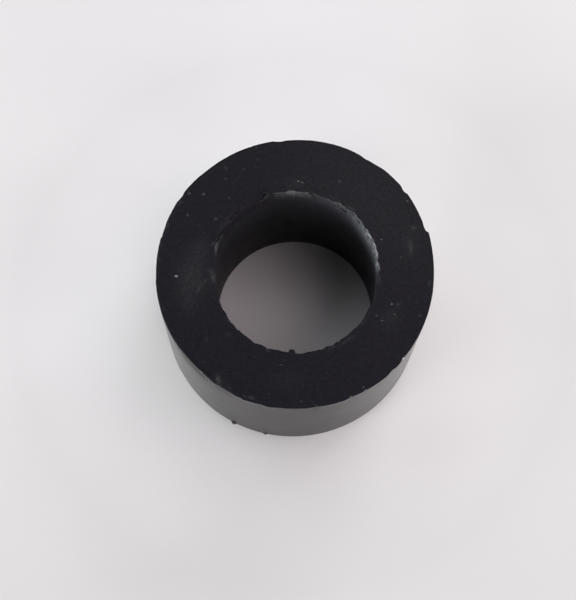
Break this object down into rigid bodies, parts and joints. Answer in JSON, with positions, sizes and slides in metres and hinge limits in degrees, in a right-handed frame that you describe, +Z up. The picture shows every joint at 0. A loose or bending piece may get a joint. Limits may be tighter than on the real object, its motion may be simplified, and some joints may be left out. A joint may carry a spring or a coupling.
{
  "type": "pump valve rubber",
  "caption": "Short thick-walled rubber sleeve with a straight bore that grips a tyre valve stem inside a hand pump's head.",
  "frame": {"origin": "centre of the skin's circle on the foot face that the sleeve stands on", "axes": "+Z up, parallel to the bore, from the foot face to the torn mouth; +X the way in which the bore stands a little off the skin's centre"},
  "size_m": [0.01, 0.01, 0.0063],
  "materials": {
    "black_rubber": "matte knife-cut ends, smooth satin moulded skin"
  },
  "bodies": {
    "root": {"valve_rubber": "black_rubber"}
  },
  "joints": []
}
